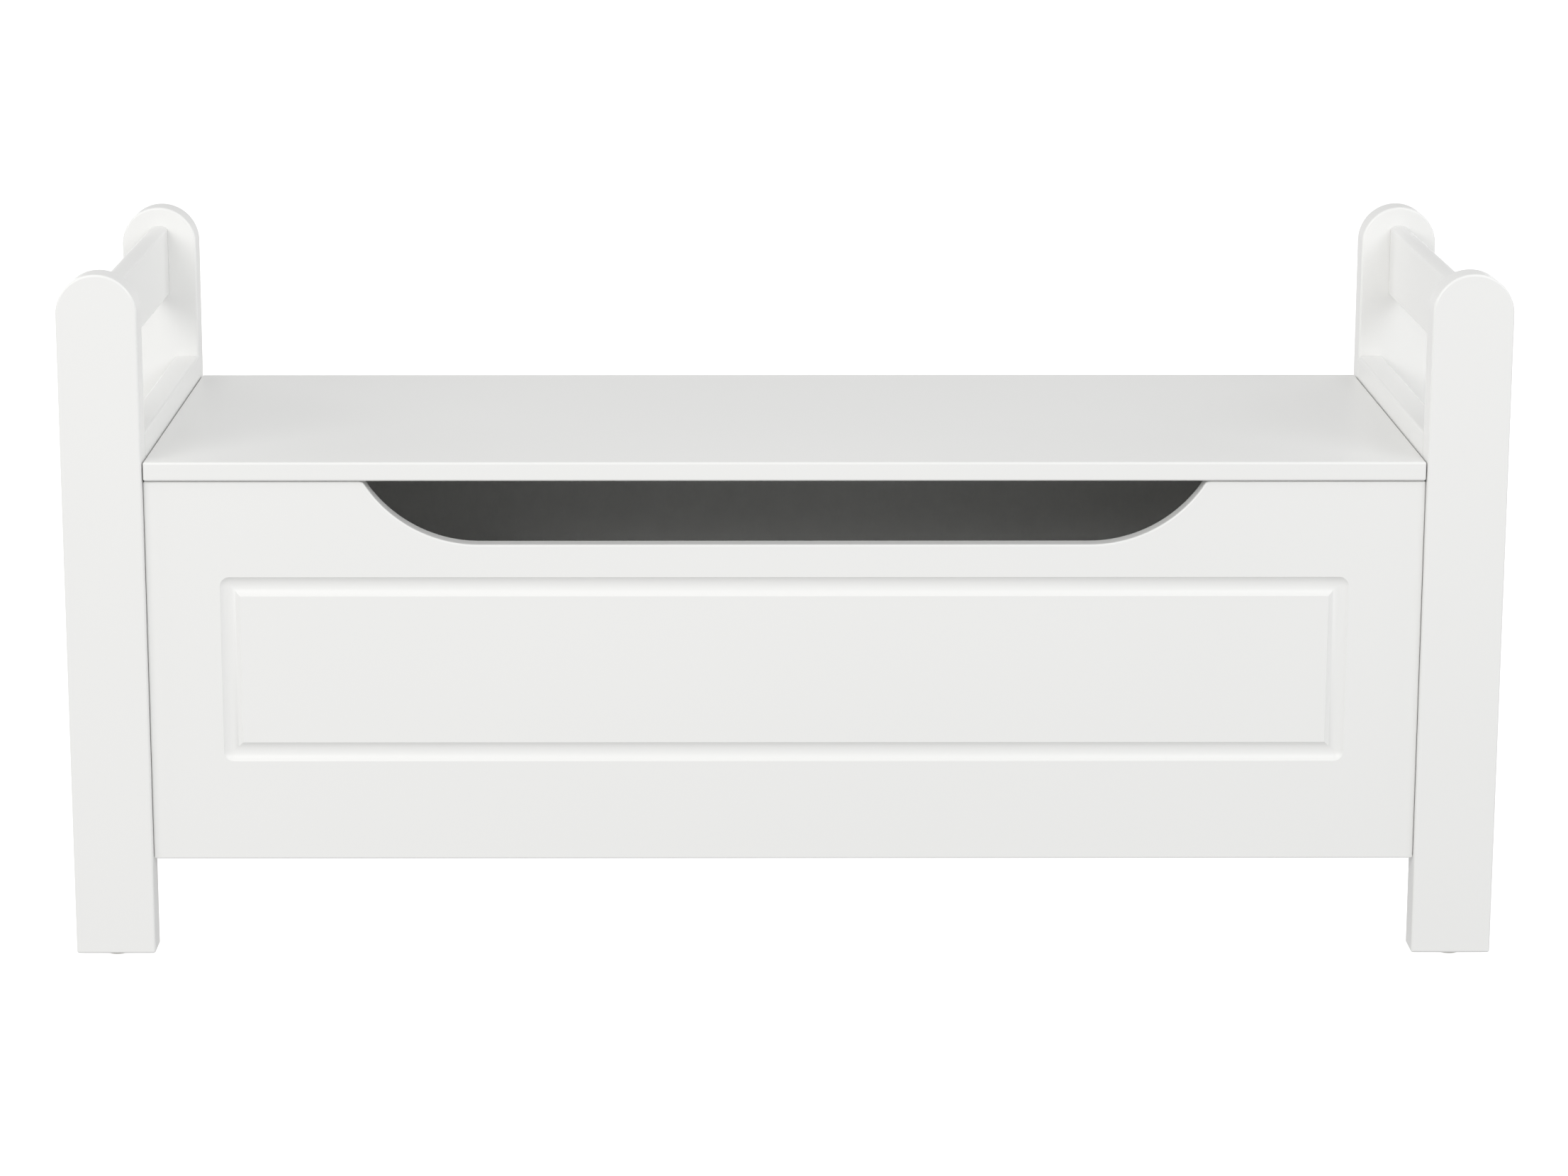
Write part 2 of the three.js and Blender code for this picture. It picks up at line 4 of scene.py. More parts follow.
import bpy
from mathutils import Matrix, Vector


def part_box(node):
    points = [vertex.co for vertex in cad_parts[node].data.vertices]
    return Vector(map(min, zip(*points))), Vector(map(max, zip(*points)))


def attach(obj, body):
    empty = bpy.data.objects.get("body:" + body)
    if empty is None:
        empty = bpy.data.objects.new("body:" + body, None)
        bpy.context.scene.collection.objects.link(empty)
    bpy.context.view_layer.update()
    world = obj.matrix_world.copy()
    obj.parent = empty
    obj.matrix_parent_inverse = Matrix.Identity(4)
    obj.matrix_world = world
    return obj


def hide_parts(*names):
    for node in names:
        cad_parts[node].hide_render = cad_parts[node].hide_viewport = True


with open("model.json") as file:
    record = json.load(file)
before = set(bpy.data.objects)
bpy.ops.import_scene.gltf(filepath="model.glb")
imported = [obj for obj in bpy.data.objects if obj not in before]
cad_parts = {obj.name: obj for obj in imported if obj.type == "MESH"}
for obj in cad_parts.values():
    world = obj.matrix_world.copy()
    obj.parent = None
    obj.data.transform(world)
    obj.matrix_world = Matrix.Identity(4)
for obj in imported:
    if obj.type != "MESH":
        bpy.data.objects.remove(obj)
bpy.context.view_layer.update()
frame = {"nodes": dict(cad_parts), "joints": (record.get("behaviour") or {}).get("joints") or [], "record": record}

mm = 0.001
bodyOf = {node: body for body, nodes in frame["record"]["behaviour"]["bodies"].items() for node in nodes}
sides = (("left", -1), ("right", 1))
ends = ("front", "back")
closeBy = 0.05 * mm
mergeReach = 0.01 * mm


# shader maths: a socket that adds its Math nodes as it is used in an expression

class Socket:
    def __init__(self, paint, link):
        self.paint = paint
        self.link = link

    def __add__(self, other):
        return self.paint.sum("ADD", self, other)

    def __radd__(self, other):
        return self.paint.sum("ADD", other, self)

    def __sub__(self, other):
        return self.paint.sum("SUBTRACT", self, other)

    def __rsub__(self, other):
        return self.paint.sum("SUBTRACT", other, self)

    def __mul__(self, other):
        return self.paint.sum("MULTIPLY", self, other)

    def __rmul__(self, other):
        return self.paint.sum("MULTIPLY", other, self)


class Paint:
    def __init__(self, name):
        self.material = bpy.data.materials.new(name)
        self.material.use_nodes = True
        self.tree = self.material.node_tree
        self.tree.nodes.clear()
        self.place = self.node("ShaderNodeTexCoord", output="Object")

    def node(self, kind, settings=None, values=None, output=0):
        made = self.tree.nodes.new(kind)
        for name, value in (settings or {}).items():
            if name == "stops":
                self.setStops(made.color_ramp.elements, value)
            else:
                setattr(made, name, value)
        for name, value in (values or {}).items():
            if isinstance(value, Socket):
                self.tree.links.new(value.link, made.inputs[name])
            else:
                made.inputs[name].default_value = value
        return Socket(self, made.outputs[output])

    def setStops(self, elements, stops):
        while len(elements) < len(stops):
            elements.new(0.5)
        for element, (position, level) in zip(elements, stops):
            element.position = position
            element.color = (level, level, level, 1)

    def sum(self, operation, first, second):
        return self.node("ShaderNodeMath", {"operation": operation}, {0: first, 1: second})

    def noise(self, scale, detail=2.0, stretch=(1, 1, 1), shift=(0, 0, 0)):
        where = self.node("ShaderNodeMapping", {},
                          {"Vector": self.place, "Scale": stretch, "Location": shift})
        return self.node("ShaderNodeTexNoise", {}, {"Vector": where, "Scale": scale, "Detail": detail})

    def ramp(self, level, *stops):
        return self.node("ShaderNodeValToRGB", {"stops": stops}, {"Fac": level})

    def blend(self, amount, first, second):
        return self.node("ShaderNodeMix", {"data_type": "RGBA"},
                         {0: amount, 6: first, 7: second}, output=2)

    def bump(self, height, strength, distance):
        return self.node("ShaderNodeBump", {},
                         {"Height": height, "Strength": strength, "Distance": distance})

    def finish(self, **values):
        named = {name.replace("_", " "): value for name, value in values.items()}
        shader = self.node("ShaderNodeBsdfPrincipled", {}, named)
        result = self.tree.nodes.new("ShaderNodeOutputMaterial")
        self.tree.links.new(shader.link, result.inputs["Surface"])
        return self.material


def lacquerPaint():
    look = {"white": (0.885, 0.885, 0.873, 1), "shade": (0.876, 0.877, 0.865, 1), "cloudScale": 2.4,
            "roughness": 0.33, "roughnessVary": 0.025, "grainVary": 0.02, "smearScale": 6,
            "peelScale": 240, "grainScale": 1500, "peelShare": 0.8, "grainShare": 0.2,
            "bump": 0.06, "relief": 0.2 * mm}
    paint = Paint("whiteLacquer")
    cloud = paint.noise(look["cloudScale"], 1)
    peel = paint.noise(look["peelScale"], 1.5)
    grain = paint.noise(look["grainScale"], 2, shift=(0.3, 0.1, 0.7))
    smear = paint.noise(look["smearScale"], 1, stretch=(1, 1, 0.6), shift=(0.5, 0.2, 0.9))
    return paint.finish(
        Base_Color=paint.blend(paint.ramp(cloud, (0.3, 0), (0.7, 1)), look["white"], look["shade"]),
        Roughness=look["roughness"] + look["roughnessVary"] * (smear - 0.5) + look["grainVary"] * grain,
        Normal=paint.bump(peel * look["peelShare"] + grain * look["grainShare"],
                          look["bump"], look["relief"]))


def hingeSteelPaint():
    look = {"bright": (0.66, 0.66, 0.67, 1), "dull": (0.52, 0.52, 0.53, 1), "roughness": 0.22,
            "brushedVary": 0.12, "stainVary": 0.06, "brushedScale": 900, "stainScale": 70,
            "bump": 0.12, "relief": 0.1 * mm}
    paint = Paint("brightSteel")
    brushed = paint.noise(look["brushedScale"], 3, stretch=(0.05, 1, 1))
    stain = paint.noise(look["stainScale"], 3)
    return paint.finish(
        Base_Color=paint.blend(stain, look["bright"], look["dull"]), Metallic=1.0,
        Roughness=look["roughness"] + look["brushedVary"] * brushed + look["stainVary"] * stain,
        Normal=paint.bump(brushed, look["bump"], look["relief"]))


def zincPaint():
    look = {"pale": (0.60, 0.61, 0.63, 1), "dark": (0.42, 0.43, 0.45, 1), "roughness": 0.34,
            "cloudVary": 0.14, "pitVary": 0.05, "cloudScale": 120, "pitScale": 1400,
            "bump": 0.15, "relief": 0.08 * mm}
    paint = Paint("zincPlate")
    cloud = paint.noise(look["cloudScale"], 4)
    pits = paint.noise(look["pitScale"], 2)
    return paint.finish(
        Base_Color=paint.blend(paint.ramp(cloud, (0.35, 0), (0.65, 1)), look["pale"], look["dark"]),
        Metallic=1.0, Roughness=look["roughness"] + look["cloudVary"] * cloud + look["pitVary"] * pits,
        Normal=paint.bump(pits, look["bump"], look["relief"]))


def nylonPaint():
    look = {"pale": (0.74, 0.73, 0.69, 1), "dark": (0.68, 0.67, 0.63, 1), "roughness": 0.48,
            "roughnessVary": 0.1, "skinScale": 700, "bump": 0.2, "relief": 0.1 * mm}
    paint = Paint("nylon")
    skin = paint.noise(look["skinScale"], 2)
    return paint.finish(
        Base_Color=paint.blend(skin, look["pale"], look["dark"]),
        Roughness=look["roughness"] + look["roughnessVary"] * skin,
        Normal=paint.bump(skin, look["bump"], look["relief"]))


def rubberPaint():
    look = {"pale": (0.62, 0.62, 0.60, 1), "dark": (0.54, 0.54, 0.52, 1), "roughness": 0.72,
            "roughnessVary": 0.12, "skinScale": 1100, "bump": 0.3, "relief": 0.2 * mm}
    paint = Paint("paleRubber")
    skin = paint.noise(look["skinScale"], 3)
    return paint.finish(
        Base_Color=paint.blend(skin, look["pale"], look["dark"]),
        Roughness=look["roughness"] + look["roughnessVary"] * skin,
        Normal=paint.bump(skin, look["bump"], look["relief"]))


paints = {
    "white_lacquer": lacquerPaint(),
    "hinge_steel": hingeSteelPaint(),
    "zinc_steel": zincPaint(),
    "glide_plastic": nylonPaint(),
    "bumper_rubber": rubberPaint(),
}
slotOf = {part["node"]: part["material_slot"] for part in frame["record"]["subparts"]}
print("paints mixed:", ", ".join(paints))


# modelling helpers

def deselectAll():
    bpy.ops.object.select_all(action="DESELECT")


def pick(piece):
    deselectAll()
    piece.select_set(True)
    bpy.context.view_layer.objects.active = piece


def block(name, low, high):
    deselectAll()
    low, high = Vector(low), Vector(high)
    bpy.ops.mesh.primitive_cube_add(size=1, location=(low + high) / 2)
    piece = bpy.context.object
    piece.name = name
    piece.scale = high - low
    bpy.ops.object.transform_apply(location=True, rotation=True, scale=True)
    return piece


def rod(name, radius, length, middle, turn, segments=48):
    deselectAll()
    bpy.ops.mesh.primitive_cylinder_add(vertices=segments, radius=radius, depth=length,
                                        location=middle, rotation=turn)
    piece = bpy.context.object
    piece.name = name
    bpy.ops.object.transform_apply(location=True, rotation=True, scale=True)
    return piece


alongX = (0, math.pi / 2, 0)
alongY = (math.pi / 2, 0, 0)
alongZ = (0, 0, 0)


def editEdges(piece, test):
    # enters edit mode with just the edges whose two ends pass the test selected
    pick(piece)
    bpy.ops.object.mode_set(mode="EDIT")
    bpy.ops.mesh.select_mode(type="EDGE")
    bpy.ops.mesh.select_all(action="DESELECT")
    bpy.ops.object.mode_set(mode="OBJECT")
    points = piece.data.vertices
    for edge in piece.data.edges:
        first, second = (points[index].co for index in edge.vertices)
        edge.select = test(first, second)
    bpy.ops.object.mode_set(mode="EDIT")


def roundEdges(piece, test, radius, segments):
    editEdges(piece, test)
    bpy.ops.mesh.bevel(offset=radius, segments=segments, affect="EDGES", clamp_overlap=False)
    bpy.ops.mesh.select_all(action="SELECT")
    bpy.ops.mesh.remove_doubles(threshold=mergeReach)
    bpy.ops.object.mode_set(mode="OBJECT")


def easeAll(piece, radius, segments=4, angle=40):
    pick(piece)
    bevel = piece.modifiers.new("ease", "BEVEL")
    bevel.width = radius
    bevel.segments = segments
    bevel.limit_method = "ANGLE"
    bevel.angle_limit = math.radians(angle)
    bpy.ops.object.modifier_apply(modifier=bevel.name)


def combine(piece, other, operation):
    pick(piece)
    tool = piece.modifiers.new("combine", "BOOLEAN")
    tool.operation = operation
    tool.object = other
    tool.solver = "EXACT"
    bpy.ops.object.modifier_apply(modifier=tool.name)
    bpy.data.objects.remove(other)


def cutAway(piece, cutter):
    combine(piece, cutter, "DIFFERENCE")


def weld(piece, other):
    combine(piece, other, "UNION")


def cone(name, lowRadius, highRadius, tall, middle, turn=(0, 0, 0)):
    deselectAll()
    bpy.ops.mesh.primitive_cone_add(vertices=40, radius1=lowRadius, radius2=highRadius, depth=tall,
                                    location=middle, rotation=turn)
    piece = bpy.context.object
    piece.name = name
    bpy.ops.object.transform_apply(location=True, rotation=True, scale=True)
    return piece


def moveTo(piece, place, turn=(0, 0, 0)):
    pick(piece)
    piece.location = place
    piece.rotation_euler = turn
    bpy.ops.object.transform_apply(location=True, rotation=True, scale=True)


def smooth(piece, angle=30):
    pick(piece)
    bpy.ops.object.shade_smooth_by_angle(angle=math.radians(angle))
    normals = piece.modifiers.new("even", "WEIGHTED_NORMAL")
    normals.keep_sharp = True
    bpy.ops.object.modifier_apply(modifier=normals.name)


def fit(piece, node, angle=30):
    # hands a finished piece to the frame in place of its CAD node
    smooth(piece, angle)
    piece.data.materials.clear()
    piece.data.materials.append(paints[slotOf[node]])
    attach(piece, bodyOf[node])
    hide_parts(node)


def near(value, target):
    return abs(value - target) < closeBy


# camera

def addCamera():
    look = {"place": (-0.0482, -3.4, 1.1185), "down": 11.49, "aside": -0.106,
            "lens": 90.78, "shift": (0.0321, -0.11)}
    lens = bpy.data.cameras.new("camera")
    lens.lens = look["lens"]
    lens.sensor_width = 36
    lens.shift_x, lens.shift_y = look["shift"]
    camera = bpy.data.objects.new("camera", lens)
    camera.location = look["place"]
    camera.rotation_euler = (math.radians(90 - look["down"]), 0, math.radians(look["aside"]))
    bpy.context.scene.collection.objects.link(camera)
    bpy.context.scene.camera = camera


addCamera()
print("camera set")


# end frames

def makeLeg(node):
    leg = {"ease": 2.0 * mm, "arcSegments": 28}
    low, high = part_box(node)
    piece = block(node.replace("leg", "leg_board"), low, high)
    half = (high.x - low.x) / 2
    roundEdges(piece, lambda a, b: near(a.z, high.z) and near(b.z, high.z) and near(a.x, b.x),
               half, leg["arcSegments"])
    easeAll(piece, leg["ease"])
    fit(piece, node)


def makeSidePanel(node):
    panel = {"ease": 2.0 * mm}
    low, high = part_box(node)
    piece = block(node.replace("panel", "board"), low, high)
    roundEdges(piece, lambda a, b: near(a.z, b.z) and near(a.x, b.x), panel["ease"], 4)
    fit(piece, node)


def makeArmRail(node):
    rail = {"crown": 4 * mm, "ease": 2.5 * mm, "crownSegments": 10, "margin": 0.1 * mm}
    low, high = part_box(node)
    half = (high.x - low.x) / 2
    piece = block(node.replace("rail", "rail_board"), low, high)
    roundEdges(piece, lambda a, b: near(a.z, high.z) and near(b.z, high.z) and near(a.x, b.x),
               half, rail["crownSegments"])
    editEdges(piece, lambda a, b: min(a.z, b.z) > high.z - half - rail["margin"])
    bpy.ops.transform.resize(value=(1, 1, rail["crown"] / half),
                             center_override=(low.x + half, 0, high.z))
    bpy.ops.object.mode_set(mode="OBJECT")
    roundEdges(piece, lambda a, b: near(a.z, low.z) and near(b.z, low.z) and near(a.x, b.x),
               rail["ease"], 5)
    fit(piece, node)


for end in ends:
    for side, _ in sides:
        makeLeg(f"leg_{end}_{side}")
for side, _ in sides:
    makeSidePanel(f"side_panel_{side}")
    makeArmRail(f"arm_rail_{side}")
print("end frames made")


# chest

def camBores(piece, panel):
    # a blind round hole round each cam lock, from the inner face of the panel
    gap = 0.3 * mm
    outside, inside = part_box(f"{panel}_panel")
    inner = inside.y if panel == "front" else outside.y
    for side, _ in sides:
        for level in ("lower", "upper"):
            low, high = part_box(f"cam_lock_{panel}_{side}_{level}")
            middle = (low + high) / 2
            bore = rod("bore", (high.x - low.x) / 2 + gap, 2 * (high.y - low.y + gap),
                       (middle.x, inner, middle.z), alongY)
            cutAway(piece, bore)


def makeFrontPanel():
    panel = {"ease": 1.6 * mm, "cutoutDepth": 54 * mm, "cutoutFlat": 510 * mm, "cutoutRadius": 112 * mm,
             "lip": 3.4 * mm, "cutter": 11.5 * mm, "grooveDepth": 3.5 * mm, "grooveFromEnd": 69.75 * mm,
             "grooveFromBottom": 94 * mm, "grooveFromTop": 90 * mm, "cutPast": 10 * mm,
             "ballTurn": 0.6}  # keeps the ball's rings off the facets of the grooves
    low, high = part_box("front_panel")
    piece = block("front_board", low, high)
    radius = panel["cutoutRadius"]
    reach = panel["cutoutFlat"] / 2 + radius
    bottom = high.z - panel["cutoutDepth"]
    past = panel["cutPast"]
    hand = block("hand", (-reach, low.y - past, bottom), (reach, high.y + past, bottom + 2 * radius))
    roundEdges(hand, lambda a, b: near(a.z, bottom) and near(b.z, bottom) and near(a.x, b.x), radius, 36)
    cutAway(piece, hand)
    roundEdges(piece, lambda a, b: near(a.z, high.z) and near(b.z, high.z) and near(a.x, b.x)
               and abs(a.x) < reach, panel["lip"], 6)
    easeAll(piece, panel["ease"], 4, 35)
    depth = low.y + panel["grooveDepth"] - panel["cutter"]
    x = high.x - panel["grooveFromEnd"]
    levels = (low.z + panel["grooveFromBottom"], high.z - panel["grooveFromTop"])
    middle = sum(levels) / 2
    for z in levels:
        cutAway(piece, rod("run", panel["cutter"], 2 * x, (0, depth, z), alongX, 96))
    for sx in (-1, 1):
        cutAway(piece, rod("run", panel["cutter"], levels[1] - levels[0],
                           (sx * x, depth, middle), alongZ, 96))
        for z in levels:
            deselectAll()
            bpy.ops.mesh.primitive_uv_sphere_add(segments=96, ring_count=48, radius=panel["cutter"],
                                                 location=(sx * x, depth, z),
                                                 rotation=(0, panel["ballTurn"], 0))
            ball = bpy.context.object
            bpy.ops.object.transform_apply(location=True, rotation=True, scale=True)
            cutAway(piece, ball)
    camBores(piece, "front")
    fit(piece, "front_panel", 24)


def makeBackPanel():
    panel = {"ease": 1.6 * mm}
    low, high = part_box("back_panel")
    piece = block("back_board", low, high)
    easeAll(piece, panel["ease"])
    camBores(piece, "back")
    fit(piece, "back_panel")


def makePlainBoard(node, name, ease):
    low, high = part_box(node)
    piece = block(name, low, high)
    easeAll(piece, ease, 3)
    fit(piece, node)


makeFrontPanel()
makeBackPanel()
boardEase = {"floor": 0.6 * mm, "cleat": 1.5 * mm}
makePlainBoard("chest_floor", "floor_board", boardEase["floor"])
for edge in ("front", "back", "left", "right"):
    makePlainBoard(f"cleat_{edge}", f"floor_cleat_{edge}", boardEase["cleat"])
print("chest made")


# lid

def makeLid():
    lid = {"ease": 2.0 * mm, "easeSegments": 5}
    low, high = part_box("lid")
    piece = block("lid_board", low, high)
    easeAll(piece, lid["ease"], lid["easeSegments"])
    fit(piece, "lid")


makeLid()
print("lid made")


# joints give the axes of the hinges and stays

axisOf = {joint["name"]: Vector(joint["pos_m"]) for joint in frame["joints"]}
hingeAxis = axisOf["lid_hinge"]
sidePivot = axisOf["stay_side_pivot_right"]
lidPivot = axisOf["stay_lid_pivot_right"]


# screws

def makeScrew(node, screw, place, turn):
    # modelled head up at the origin, then turned into its place
    cross = {"reach": 0.62 * screw["head"], "halfWidth": 0.32 * mm, "depth": 1.1 * mm, "past": 0.5 * mm}
    tip = {"tall": 3 * mm, "radius": 0.1 * mm, "overlap": 0.05 * mm}
    ease, neck = 0.12 * mm, 0.2 * mm
    head = cone("head", screw["shank"], screw["head"], screw["headDepth"],
                (0, 0, -screw["headDepth"] / 2))
    easeAll(head, ease, 3, 50)
    for slotTurn in (0, math.pi / 2):
        slot = block("slot", (-cross["reach"], -cross["halfWidth"], -cross["depth"]),
                     (cross["reach"], cross["halfWidth"], cross["past"]))
        moveTo(slot, (0, 0, 0), (0, 0, slotTurn))
        cutAway(head, slot)
    straight = screw["length"] - tip["tall"]
    shank = rod("shank", screw["shank"], straight - screw["headDepth"] + neck,
                (0, 0, -(straight + screw["headDepth"] - neck) / 2), alongZ, 24)
    point = cone("point", tip["radius"], screw["shank"], tip["tall"] + tip["overlap"],
                 (0, 0, -straight - (tip["tall"] - tip["overlap"]) / 2))
    weld(head, shank)
    weld(head, point)
    head.name = node + "_cross"
    moveTo(head, place, turn)
    fit(head, node)


def countersink(piece, screw, place, turn, gap=0.3 * mm):
    # the screw's hole, wider by the gap all round
    mouthTall, overlap = 0.4 * mm, 0.01 * mm
    hole = cone("hole", screw["shank"] + gap, screw["head"] + gap, screw["headDepth"],
                (0, 0, -screw["headDepth"] / 2))
    mouth = rod("mouth", screw["head"] + gap, mouthTall, (0, 0, mouthTall / 2 - overlap), alongZ, 40)
    bore = rod("bore", screw["shank"] + gap, screw["length"], (0, 0, -screw["length"] / 2), alongZ, 40)
    weld(hole, mouth)
    weld(hole, bore)
    moveTo(hole, place, turn)
    cutAway(piece, hole)


faceUp = (0, 0, 0)
faceDown = (math.pi, 0, 0)


def faceInwards(sx):
    return (0, -sx * math.pi / 2, 0)


# hinges

hingeSizes = {"length": 60 * mm, "leaf": 0.8 * mm, "gap": 0.4 * mm, "reach": 20 * mm, "barrel": 3 * mm,
              "pin": 1.3 * mm, "fitGap": 0.3 * mm, "corner": 2.5 * mm,
              "screwSpread": 36 * mm, "screwReach": 12 * mm, "leafEase": 0.12 * mm,
              "knuckleEase": 0.2 * mm, "tabOverlap": 0.5 * mm, "tabInset": 0.01 * mm}
hingeScrew = {"shank": 1.5 * mm, "head": 3.2 * mm, "headDepth": 1.7 * mm, "length": 12 * mm}


def makeLeaf(node, rise, knuckles):
    h = hingeSizes
    low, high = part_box(node)
    x = (low.x + high.x) / 2
    z = hingeAxis.z + rise * (h["gap"] + h["leaf"]) / 2
    clear = h["barrel"] + h["fitGap"]
    far = hingeAxis.y - h["reach"]
    leaf = block(node + "_plate", (x - h["length"] / 2, far, z - h["leaf"] / 2),
                 (x + h["length"] / 2, hingeAxis.y - clear, z + h["leaf"] / 2))
    roundEdges(leaf, lambda a, b: near(a.y, far) and near(b.y, far) and near(a.x, b.x), h["corner"], 8)
    easeAll(leaf, h["leafEase"], 2)
    wall = (h["barrel"] + h["pin"]) / 2
    for step in knuckles:
        middle = x + step * h["length"] / 3
        half = (h["length"] / 3 - h["fitGap"]) / 2
        tall = h["leaf"] / 2 - h["tabInset"]
        tab = block("tab", (middle - half, hingeAxis.y - clear - h["tabOverlap"], z - tall),
                    (middle + half, hingeAxis.y - wall, z + tall))
        knuckle = rod("knuckle", h["barrel"], 2 * half, (middle, hingeAxis.y, hingeAxis.z), alongX, 64)
        easeAll(knuckle, h["knuckleEase"], 3, 50)
        weld(knuckle, tab)
        weld(leaf, knuckle)
    cutAway(leaf, rod("bore", h["pin"] + h["fitGap"], 2 * h["length"],
                      (x, hingeAxis.y, hingeAxis.z), alongX))
    for row in (-1, 1):
        place = (x + row * h["screwSpread"] / 2, hingeAxis.y - h["screwReach"], z - rise * h["leaf"] / 2)
        countersink(leaf, hingeScrew, place, faceUp if rise < 0 else faceDown)
    fit(leaf, node)


def makeHingePin(node):
    pin = {"head": 2.4 * mm, "tall": 1 * mm, "dome": 0.7 * mm}
    low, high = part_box(node)
    middle = ((low.x + high.x) / 2, hingeAxis.y, hingeAxis.z)
    piece = rod(node + "_rod", hingeSizes["pin"], high.x - low.x - pin["tall"], middle, alongX, 32)
    for x, out in ((low.x, -1), (high.x, 1)):
        head = rod("head", pin["head"], pin["tall"], (x - out * pin["tall"] / 2, *middle[1:]), alongX)
        roundEdges(head, lambda a, b: near(a.x, x) and near(b.x, x), pin["dome"], 5)
        weld(piece, head)
    fit(piece, node)


for side, sx in sides:
    makeLeaf(f"hinge_leaf_fixed_{side}", -1, (-1, 1))
    makeLeaf(f"hinge_leaf_lid_{side}", 1, (0,))
    makeHingePin(f"hinge_pin_{side}")
    for row in ("inner", "outer"):
        for leaf, turn in (("fixed", faceUp), ("lid", faceDown)):
            node = f"hinge_screw_{leaf}_{side}_{row}"
            low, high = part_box(node)
            z = high.z if leaf == "fixed" else low.z
            makeScrew(node, hingeScrew, ((low.x + high.x) / 2, (low.y + high.y) / 2, z), turn)
print("hinges made")


# lid stays

stay = {"plate": 2 * mm, "play": 0.4 * mm, "halfWidth": 7 * mm, "stud": 3 * mm, "studHead": 5.2 * mm,
        "studTall": 1.2 * mm, "dome": 0.6 * mm, "fitGap": 0.3 * mm, "ease": 0.35 * mm,
        "plateCorner": 5 * mm, "plateScrewSpread": 36 * mm, "offWood": 0.25 * mm}
stayScrew = {"shank": 1.6 * mm, "head": 3.4 * mm, "headDepth": 1.8 * mm, "length": 15 * mm}
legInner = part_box("leg_front_right")[0].x
platePlane = legInner - stay["offWood"] - stay["plate"] / 2
lowerPlane = platePlane - stay["plate"] - stay["play"]
upperPlane = lowerPlane - stay["plate"] - stay["play"]
lowerAngle = math.atan2(lidPivot.z - hingeAxis.z, lidPivot.y - hingeAxis.y)
upperAngle = math.atan2(sidePivot.z - hingeAxis.z, sidePivot.y - hingeAxis.y)
lowerLength = (lidPivot - hingeAxis).yz.length
upperLength = (sidePivot - hingeAxis).yz.length


def addStud(piece, x, y, z, towards):
    # a riveted stud from the plate at x, through one arm, with a domed head beyond it
    shaft = 1.5 * stay["plate"] + 2 * stay["play"]
    weld(piece, rod("stud", stay["stud"], shaft + stay["plate"] / 2,
                    (x + towards * (shaft - stay["plate"] / 2) / 2, y, z), alongX))
    end = x + towards * (shaft + stay["studTall"])
    head = rod("head", stay["studHead"], stay["studTall"],
               (end - towards * stay["studTall"] / 2, y, z), alongX)
    roundEdges(head, lambda a, b: near(a.x, end) and near(b.x, end), stay["dome"], 5)
    weld(piece, head)


def makeSidePlate(side, sx):
    node = f"stay_side_plate_{side}"
    low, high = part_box(node)
    x = sx * platePlane
    half = stay["plate"] / 2
    piece = block(node + "_blank", (x - half, low.y, low.z), (x + half, high.y, high.z))
    roundEdges(piece, lambda a, b: near(a.y, b.y) and near(a.z, b.z), stay["plateCorner"], 8)
    easeAll(piece, stay["ease"], 3)
    addStud(piece, x, sidePivot.y, sidePivot.z, -sx)
    for row in (-1, 1):
        place = (x - sx * half, sidePivot.y, sidePivot.z + row * stay["plateScrewSpread"] / 2)
        countersink(piece, stayScrew, place, faceInwards(sx))
    fit(piece, node)


def armBlank(name, length):
    # a flat bar with round ends, along +Y from the origin
    half, thick = stay["halfWidth"], stay["plate"] / 2
    piece = block(name, (-thick, -half, -half), (thick, length + half, half))
    roundEdges(piece, lambda a, b: near(a.y, b.y) and near(a.z, b.z), half, 14)
    easeAll(piece, stay["ease"], 3)
    return piece


def pivotHole(piece, y):
    cutAway(piece, rod("hole", stay["stud"] + stay["fitGap"], 8 * stay["plate"], (0, y, 0), alongX))


def makeLowerArm(side, sx):
    lug = {"reach": 16 * mm, "length": 8 * mm, "thick": 3 * mm}
    node = f"stay_lower_arm_{side}"
    bend = upperAngle + math.pi - (lowerAngle - math.pi / 2)
    aside = stay["halfWidth"] + stay["fitGap"] + lug["thick"] / 2
    y = lowerLength + lug["reach"] * math.cos(bend) - aside * math.sin(bend)
    z = lug["reach"] * math.sin(bend) + aside * math.cos(bend)
    tall = 2 * stay["plate"] + stay["play"]
    piece = armBlank(node + "_bar", y)
    stop = block("lug", (-tall / 2, -lug["length"] / 2, -lug["thick"] / 2),
                 (tall / 2, lug["length"] / 2, lug["thick"] / 2))
    easeAll(stop, stay["ease"], 3)
    moveTo(stop, (-sx * (tall - stay["plate"]) / 2, y, z), (bend, 0, 0))
    weld(piece, stop)
    pivotHole(piece, 0)
    pivotHole(piece, lowerLength)
    moveTo(piece, (sx * lowerPlane, sidePivot.y, sidePivot.z), (lowerAngle, 0, 0))
    fit(piece, node)


def makeUpperArm(side, sx):
    node = f"stay_upper_arm_{side}"
    piece = armBlank(node + "_bar", upperLength)
    pivotHole(piece, 0)
    addStud(piece, 0, upperLength, 0, sx)
    moveTo(piece, (sx * upperPlane, lidPivot.y, lidPivot.z), (upperAngle, 0, 0))
    fit(piece, node)


